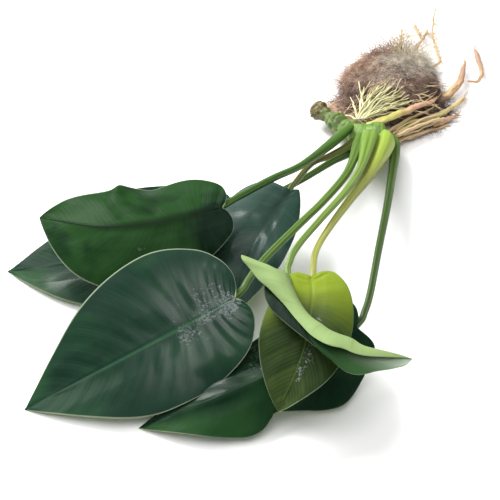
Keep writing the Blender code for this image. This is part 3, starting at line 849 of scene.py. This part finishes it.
rootTones = {
    "pale": ((0.84, 0.79, 0.54), (0.46, 0.45, 0.17), (0.3, 0.27, 0.1)),
    "green": ((0.46, 0.5, 0.16), (0.32, 0.36, 0.08), (0.45, 0.34, 0.14), (0.52, 0.42, 0.2)),
    "tan": ((0.6, 0.4, 0.22), (0.28, 0.14, 0.06), (0.6, 0.46, 0.24), (0.4, 0.24, 0.16)),
    "thin": ((0.58, 0.42, 0.22), (0.4, 0.26, 0.11), (0.22, 0.13, 0.06)),
    "split": ((0.5, 0.46, 0.14), (0.36, 0.36, 0.08), (0.4, 0.24, 0.1), (0.5, 0.3, 0.19)),
    "loose": ((0.68, 0.58, 0.34), (0.42, 0.24, 0.13), (0.5, 0.46, 0.16)),
}
rootSkins = {name: rootShader(name + "RootSkin", *tones) for name, tones in rootTones.items()}
plugShape = {
    "halfLength": 15, "halfWidth": 14, "height": 9.5, "lump": 0.9, "lumpScale": 2.5,
    "shade": (0.035, 0.02, 0.018), "tones": ((0.12, 0.075, 0.06), (0.3, 0.2, 0.14)),
}
fan = {
    "start": (-10.5, -20, 8.5),
    "ends": [
        (-17, -13, 3), (-13, -9, 7), (-9, -6.5, 9), (-4.5, -6, 9), (0, -5, 9), (2, -8, 8), (4.5, -10.5, 6),
    ],
    "spacing": 0.4, "rise": 0.9, "radius": (0.36, 0.2), "extra": 40,
}
# each root: skin, radius at its start and end, route
roots = {
    "root_cut_end": ("pale", (0.55, 0.4), [(-17, -18.5, 5), (-18.5, -12.5, 3), (-21, -7.5, 1)]),
    "root_thick": ("split", (1.3, 0.8), [
        (-9, -22.5, 7.5), (-3, -20, 8.5), (1, -17.5, 8), (6.5, -13, 7), (12.5, -8, 5),
    ]),
    "root_green": ("green", (0.9, 0.7), [(4, -17, 4), (10.5, -14, 3), (17.5, -7.5, 1.5), (22, -2, 1)]),
    "root_low_near": ("tan", (0.8, 0.6), [(0, -23, 3), (5, -20, 1.5), (10, -17, 1)]),
    "root_low_middle": ("thin", (0.6, 0.5), [(-1, -21, 3), (5.5, -17, 1), (10, -14.5, 1)]),
    "root_tan": ("tan", (1.1, 0.9), [(11, -15, 1.2), (14, -13.5, 1.2), (17.5, -11.5, 1.2)]),
    "root_brown": ("tan", (1.5, 0.6), [
        (12, -5, 1.5), (17, -2, 2), (19, 0.5, 2.5), (20.7, 3, 2.5), (22, 8, 2), (23, 13.5, 1.5),
    ]),
    "root_brown_branch": ("tan", (0.35, 1), [
        (22.8, 3.5, 2), (26.3, 3.9, 1.8), (27.5, 6.5, 1.6), (27.5, 11.5, 1.4), (26.5, 19, 1.2),
    ]),
    "root_long": ("thin", (0.5, 0.2), [
        (7, 3.5, 4), (14.5, 11.5, 2), (15, 16, 1.5), (14, 27, 1.5), (16, 40.5, 1),
    ]),
    "root_fork_stem": ("thin", (0.75, 0.45), [(5, 7.5, 6), (8.5, 17.5, 4), (10.5, 23, 2)]),
    "root_fork_left": ("thin", (0.4, 0.3), [(10.5, 22.8, 2), (9.4, 28, 1.2), (8.5, 32, 0.8)]),
    "root_fork_right": ("thin", (0.4, 0.3), [(10.6, 22.8, 2), (12, 26.5, 1.2), (12.8, 29, 0.8)]),
    "root_back_left": ("thin", (0.4, 0.12), [(2, 5.5, 7), (3, 12.5, 5.5), (4, 22.5, 3), (4.5, 29.5, 1.5)]),
}
rootMake = {
    "rows": 70, "sides": 16, "wander": 0.3, "knob": 0.2, "flat": 0.68, "tip": 0.45, "bury": 0.35,
    "hairs": 40, "forkHairs": 14, "frays": 9,
    "thick": ("root_thick", "root_tan", "root_brown", "root_brown_branch"),
}


def plugTop(x, y, clearance):
    # height of the plug's surface, grown by a clearance, or 0 outside it
    inside = 1 - (x / (plugShape["halfLength"] + clearance)) ** 2
    inside -= (y / (plugShape["halfWidth"] + clearance)) ** 2
    return (plugShape["height"] + clearance) * math.sqrt(inside) if inside > 0 else 0


def rootLine(route, radii, seed, bury):
    # a route lifted on to the plug's surface, with a small wander; a bury of 1 lets it run inside
    rows = len(radii)
    line = smoothCurve(route, rows)
    shift = np.stack([noiseAt(line, 0.45, seed + turn) for turn in (0, 20, 40)], axis=1)
    line = line + shift * rootMake["wander"] * smoothStep(0, 0.15, np.linspace(0, 1, rows))[:, None]
    for place, radius in zip(line, radii):
        lowest = plugTop(place[0], place[1], plugShape["lump"] * 0.4 + radius * (1 - bury)) if bury < 1 else 0
        place[2] = max(place[2], lowest, radius * 1.1 + 0.02)
    return line


def makeRoot(name, skin, ends, route, seed):
    radii = np.linspace(ends[0], ends[1], rootMake["rows"])
    line = rootLine(route, radii, seed, 1 if name == "root_brown" else rootMake["bury"])
    radii = radii * (1 - rootMake["tip"] * smoothStep(0.78, 1, np.linspace(0, 1, rootMake["rows"])))

    def section(turn, share):
        where = np.stack([np.cos(turn), np.sin(turn), share * 10], axis=1)
        flat = np.sqrt(np.cos(turn) ** 2 + (rootMake["flat"] * np.sin(turn)) ** 2)
        ridges = 0.07 * np.cos(turn * 5 + 3 * noiseAt(where, 0.5, seed + 2))
        knobs = rootMake["knob"] * noiseAt(where, 0.9, seed)
        return flat * (1 + knobs + 0.08 * noiseAt(where, 3, seed + 5) + ridges)

    mesh = rollTube(name + "_strand", line, radii, rootMake["sides"], section)
    newPiece(name + "_strand", mesh, (rootSkins[skin],), name)
    return line


fanAcross = Vector(fan["ends"][-1]) - Vector(fan["ends"][0])
fanAcross = Vector((fanAcross.x, fanAcross.y, 0)).normalized()
rootLines = {}
for i, end in enumerate(fan["ends"]):
    start = Vector(fan["start"]) + fanAcross * ((i - (len(fan["ends"]) - 1) / 2) * fan["spacing"])
    middle = (start + Vector(end)) / 2 + Vector((0, 0, fan["rise"]))
    name = "root_fan_" + str(i + 1)
    rootLines[name] = makeRoot(name, "pale", fan["radius"], [start, middle, end], i * 2.3)
for i, (name, values) in enumerate(roots.items()):
    rootLines[name] = makeRoot(name, *values, 30 + i * 3.1)
print("roots made")


def makePlugBody():
    shape = bmesh.new()
    bmesh.ops.create_icosphere(shape, subdivisions=6, radius=1)
    halfSizes = Vector((plugShape["halfLength"], plugShape["halfWidth"], plugShape["height"]))
    for vert in shape.verts:
        lump = 1 + plugShape["lump"] / plugShape["height"] * noise.noise(vert.co * plugShape["lumpScale"])
        lump += 0.045 * noise.noise(vert.co * 7) + 0.03 * noise.noise(vert.co * 17)
        vert.co = vert.co * (halfSizes * (lump - 0.04) * mm)
    cut = bmesh.ops.bisect_plane(
        shape, geom=[*shape.verts, *shape.edges, *shape.faces],
        plane_co=(0, 0, 0), plane_no=(0, 0, -1), clear_outer=True,
    )
    rim = [part for part in cut["geom_cut"] if isinstance(part, bmesh.types.BMEdge)]
    bmesh.ops.contextual_create(shape, geom=rim)
    bmesh.ops.recalc_face_normals(shape, faces=shape.faces)
    made, tree, shader = newMaterial("matSkin", 0.9)
    place = objectPlace(tree)
    strands = noiseNode(tree, stretchNode(tree, place, (1, 0.35, 1)), 1500, 5, 0.7, 1.5)
    patch = noiseNode(tree, place, 110, 3)
    tone = mixNode(tree, stepNode(tree, patch, 0.4, 0.6), *plugShape["tones"])
    # painted shade in the gaps between the strands
    tone = mixNode(tree, stepNode(tree, strands, 0.36, 0.62), plugShape["shade"], tone)
    plug(tree, tone, shader.inputs["Base Color"])
    plug(tree, bumpNode(tree, strands, 0.0006, 1), shader.inputs["Normal"])
    newPiece("fibre_plug_mat", meshFrom(shape, "fibre_plug_mat"), (made,), "fibre_plug")


makePlugBody()
wool = {
    "steps": 6, "radius": (0.03, 0.07), "curl": 0.6,
    "brown": ((0.24, 0.135, 0.085), (0.54, 0.36, 0.25)),
    "felt": ((0.42, 0.37, 0.29), (0.76, 0.7, 0.58)),
    "dark": ((0.075, 0.045, 0.042), (0.34, 0.23, 0.19)),
}
# each tuft: tone, strands, middle, half sizes, how far strands stand clear, heading in degrees, length
tufts = [
    ("brown", 1350, (-8, 3), (6.5, 7), 0.5, 140, (2.5, 8)),
    ("brown", 500, (-16, -8), (3, 4.5), 0.6, 190, (2, 6)),
    ("brown", 800, (-3, 11), (4, 3.5), 1.6, 105, (3, 9)),
    ("brown", 500, (3, 12.5), (3, 2.5), 2.2, 80, (3, 10)),
    ("brown", 450, (3, -2), (10, 9), 0.25, 60, (3, 9)),
    ("felt", 2000, (4.5, 4.5), (6, 5.5), 0.6, 60, (2.5, 8)),
    ("felt", 700, (-3, 1), (7, 6), 0.3, 20, (3, 9)),
    ("felt", 450, (8, 9), (3.5, 3), 1.8, 50, (3, 9)),
    ("dark", 1500, (7, -8), (8.5, 6), 0.15, 20, (3, 10)),
    ("dark", 900, (-3, -12), (10, 5), 0.12, 10, (3, 9)),
    ("dark", 700, (-12.5, -5), (4, 6), 0.5, 170, (2, 6)),
    ("dark", 400, (0, 2), (11, 9), 0.4, 90, (4, 11)),
]


def woolShader(name, low, high):
    made, tree, shader = newMaterial(name, 0.75)
    place = objectPlace(tree)
    tone = mixNode(tree, stepNode(tree, noiseNode(tree, place, 420, 3, 0.6), 0.35, 0.65), low, high)
    tone = mixNode(tree, stepNode(tree, noiseNode(tree, place, 90, 2), 0.45, 0.65, 0, 0.5), tone, low)
    plug(tree, tone, shader.inputs["Base Color"])
    return made


def tuftStrands(count, middle, size, lift, heading, lengths):
    # strands that start inside an oval of the plug and lie over it, some standing clear
    strands = []
    for number in range(count):
        angle = random.uniform(0, math.tau)
        far = math.sqrt(random.random())
        outward = (math.cos(angle), math.sin(angle))
        place = Vector([middle[i] + outward[i] * far * size[i] for i in (0, 1)] + [0])
        place.z = max(plugTop(place.x, place.y, -0.6), 0.1)
        turn = math.radians(heading) + random.gauss(0, 0.9)
        clear = random.uniform(-0.3, 0.8)
        climb = random.random() ** 2.5 * lift
        step = random.uniform(*lengths) / wool["steps"]
        points = [place.copy()]
        for i in range(wool["steps"]):
            turn += random.gauss(0, wool["curl"])
            place = place + Vector((math.cos(turn), math.sin(turn), 0)) * step
            clear += climb * step * random.uniform(0.3, 1)
            top = plugTop(place.x, place.y, clear)
            beside = min(place.z - 0.3 * step + climb * step, place.z)  # sinks once past the plug
            place.z = max(top if top > 0 else beside, 0.1)
            points.append(place.copy())
        radius = random.uniform(*wool["radius"])
        strands.append((points, [radius * (1 - 0.7 * i / wool["steps"]) for i in range(len(points))]))
    return strands


def makeWool():
    random.seed(11)
    made = {"brown": [], "felt": [], "dark": []}
    for tone, *shape in tufts:
        made[tone] += tuftStrands(*shape)
    for tone, strands in made.items():
        skin = woolShader(tone + "Wool", *wool[tone])
        newPiece("wool_" + tone, strandMesh("wool_" + tone, strands), (skin,))


makeWool()
print("wool made")


looseRoots = {
    "rows": 24, "strips": 16, "from": (-1, -22.5, 3.5), "to": (15, -11.5, 1.2), "scatter": (2.2, 2.6, 1.2),
    "radius": (0.22, 0.6), "across": 80, "acrossFrom": (-18, -12, 2), "acrossTo": (6, -7, 7),
    "acrossRadius": (0.07, 0.2), "wisps": 26,
    "wispLength": (5, 15), "hairLength": (0.8, 6), "frayLength": (2, 5.5),
}


def thread(start, middle, end, radius, taper, seed, bury):
    # one tapered root over the plug
    radii = np.linspace(radius, radius * taper, looseRoots["rows"])
    return rootLine([start, middle, end], radii, seed, bury), radii


def strayPath(place, heading, length, steps, sway, lowest, clearance=None):
    # a path that drifts from its heading and stays above the surface and the plug
    points = [place.copy()]
    for step in range(steps):
        heading = (heading + Vector([random.gauss(0, sway) for axis in range(3)])).normalized()
        place = place + heading * length / steps
        top = plugTop(place.x, place.y, clearance) if clearance else 0
        place.z = max(place.z, top, lowest)
        points.append(place.copy())
    return points


def fanExtras():
    # thin roots of the fan
    strands = []
    for i in range(fan["extra"]):
        share = random.uniform(0.15, 1) ** 0.7 * (len(fan["ends"]) - 1)
        low = int(share)
        end = Vector(fan["ends"][low]).lerp(Vector(fan["ends"][low + 1]), share - low)
        end += Vector((random.gauss(1, 2.2), random.gauss(-1.2, 1.8), 0))
        start = Vector(fan["start"]) + fanAcross * random.uniform(-1.6, 1.6)
        middle = (start + end) / 2
        middle += Vector((random.gauss(0, 0.8), random.gauss(0, 0.8), random.uniform(0.2, 2.4)))
        radius = random.uniform(0.12, 0.3)
        strands.append(thread(start, middle, end, radius, 0.6, 50 + i, random.uniform(-1.5, 0.5)))
    return strands


def rootHairs():
    # fine side roots on the bare roots
    strands = []
    for name in ("root_long", "root_fork_stem", "root_fork_left", "root_fork_right", "root_back_left"):
        line = rootLines[name]
        for i in range(rootMake["forkHairs" if "fork" in name else "hairs"]):
            at = random.randrange(int(len(line) * 0.3), len(line) - 2)
            along = Vector(line[at + 1] - line[at]).normalized()
            heading = along.cross(Vector((0, 0, 1))).normalized() * random.choice((-1, 1))
            heading = (heading + along * random.uniform(-0.2, 0.9)).normalized()
            place = Vector(line[at])
            points = [place.copy()]
            length = random.uniform(*looseRoots["hairLength"])
            for step in range(6):
                heading.rotate(Quaternion((0, 0, 1), random.gauss(0, 0.25)))
                place = place + heading * length / 6
                place.z = max(place.z + random.gauss(0, 0.08), 0.08)
                points.append(place.copy())
            strands.append((points, np.linspace(0.09, 0.035, 7)))
    return strands


def looseStrips():
    # broken roots beside the crown, and strands that cross the plug's near side
    strands = []
    first, last = Vector(looseRoots["from"]), Vector(looseRoots["to"])
    for i in range(looseRoots["strips"]):
        shift = Vector([random.gauss(0, size) for size in looseRoots["scatter"]])
        start = first + shift * 0.5
        end = first.lerp(last, random.uniform(0.5, 1.1)) + shift
        middle = (start + end) / 2 + Vector((0, random.gauss(0, 0.7), random.uniform(0, 1.5)))
        radius = random.uniform(*looseRoots["radius"])
        strands.append(thread(start, middle, end, radius, random.uniform(0.5, 0.9), 90 + i, 1))
    for i in range(looseRoots["across"]):
        start = Vector(looseRoots["acrossFrom"]).lerp(Vector(looseRoots["acrossTo"]), random.random())
        start += Vector((random.gauss(0, 2), random.gauss(0, 2), 0))
        end = start + Vector((random.uniform(4, 12), random.gauss(1, 4), random.gauss(0, 1)))
        radius = random.uniform(*looseRoots["acrossRadius"])
        middle = (start + end) / 2 + Vector((random.gauss(0, 1), random.gauss(0, 1.5), 0.5))
        strands.append(thread(start, middle, end, radius, 0.5, 120 + i, random.uniform(-0.5, 0.8)))
    return strands


def wisps():
    # pale hair roots that stand out of the plug's far side
    strands = []
    for i in range(looseRoots["wisps"]):
        place = Vector((random.uniform(-1, 11), random.uniform(6, 10), 0))
        place.z = max(plugTop(place.x, place.y, 0), 1)
        heading = Vector((random.gauss(0.25, 0.5), 1, random.uniform(-0.2, 0.5))).normalized()
        points = strayPath(place, heading, random.uniform(*looseRoots["wispLength"]), 10, 0.22, 0.15, 0.4)
        strands.append((points, np.linspace(random.uniform(0.08, 0.17), 0.05, 11)))
    return strands


def frayedTips():
    # fibres at the broken ends of the thick roots
    strands = []
    for name in ("root_thick", "root_green", "root_tan", "root_brown", "root_brown_branch", "root_low_near"):
        line = rootLines[name]
        for i in range(rootMake["frays"]):
            at = int(len(line) * random.uniform(0.72, 0.93))
            along = Vector(line[-1] - line[at]).normalized()
            place = Vector(line[at]) + Vector((random.gauss(0, 0.25), random.gauss(0, 0.25), 0.2))
            points = strayPath(place, along, random.uniform(*looseRoots["frayLength"]), 6, 0.1, 0.1)
            strands.append((points, np.linspace(0.22, 0.05, 7)))
    return strands


random.seed(21)
for name, make, sides, skin, slotName in (
    ("fan_roots_fine", fanExtras, 1, "pale", "pale_root"), ("root_hairs", rootHairs, 0, "thin", "pale_root"),
    ("loose_roots", looseStrips, 2, "loose", "thick_root"), ("hair_roots", wisps, 0, "pale", "pale_root"),
    ("frayed_tips", frayedTips, 1, "tan", "thick_root"),
):
    newPiece(name, strandMesh(name, make(), sides), (rootSkins[skin],))
print("fine roots made")


studio = {
    "target": (-42.6, -64.16, 0), "distance": 520, "elevation": 47, "lens": 134.8,
    "floor": 3, "world": 0.42,
    "reach": 0.9,
    # azimuth and height in degrees, size in metres, watts
    "lamps": {"backLamp": (138, 44, 0.42, 12), "frontLamp": (225, 80, 0.9, 7)},
}


def makeStudio():
    shape = bmesh.new()
    bmesh.ops.create_grid(shape, x_segments=2, y_segments=2, size=studio["floor"])
    floor = newObject("floor", meshFrom(shape, "floor"))
    made, tree, shader = newMaterial("paper", 0.9, Base_Color=(0.92, 0.92, 0.92, 1), Specular_IOR_Level=0.1)
    floor.data.materials.append(made)
    world = bpy.data.worlds.new("studio")
    world.use_nodes = True
    world.node_tree.nodes["Background"].inputs["Color"].default_value = (1, 1, 1, 1)
    world.node_tree.nodes["Background"].inputs["Strength"].default_value = studio["world"]
    bpy.context.scene.world = world
    target = Vector(studio["target"]) * mm
    for name, (azimuth, height, size, power) in studio["lamps"].items():
        lamp = bpy.data.lights.new(name, "AREA")
        lamp.shape = "DISK"
        lamp.size = size
        lamp.energy = power
        holder = newObject(name, lamp)
        turn, rise = math.radians(azimuth), math.radians(height)
        out = Vector((math.cos(turn) * math.cos(rise), math.sin(turn) * math.cos(rise), math.sin(rise)))
        holder.location = target + out * studio["reach"]
        holder.rotation_euler = (-out).to_track_quat("-Z", "Y").to_euler()
    eye = bpy.data.cameras.new("camera")
    eye.lens = studio["lens"]
    camera = newObject("camera", eye)
    rise = math.radians(studio["elevation"])
    camera.location = target + Vector((0, -math.cos(rise), math.sin(rise))) * studio["distance"] * mm
    camera.rotation_euler = (math.pi / 2 - rise, 0, 0)
    bpy.context.scene.camera = camera
    bpy.context.scene.view_settings.view_transform = "Standard"


makeStudio()
print("studio made")
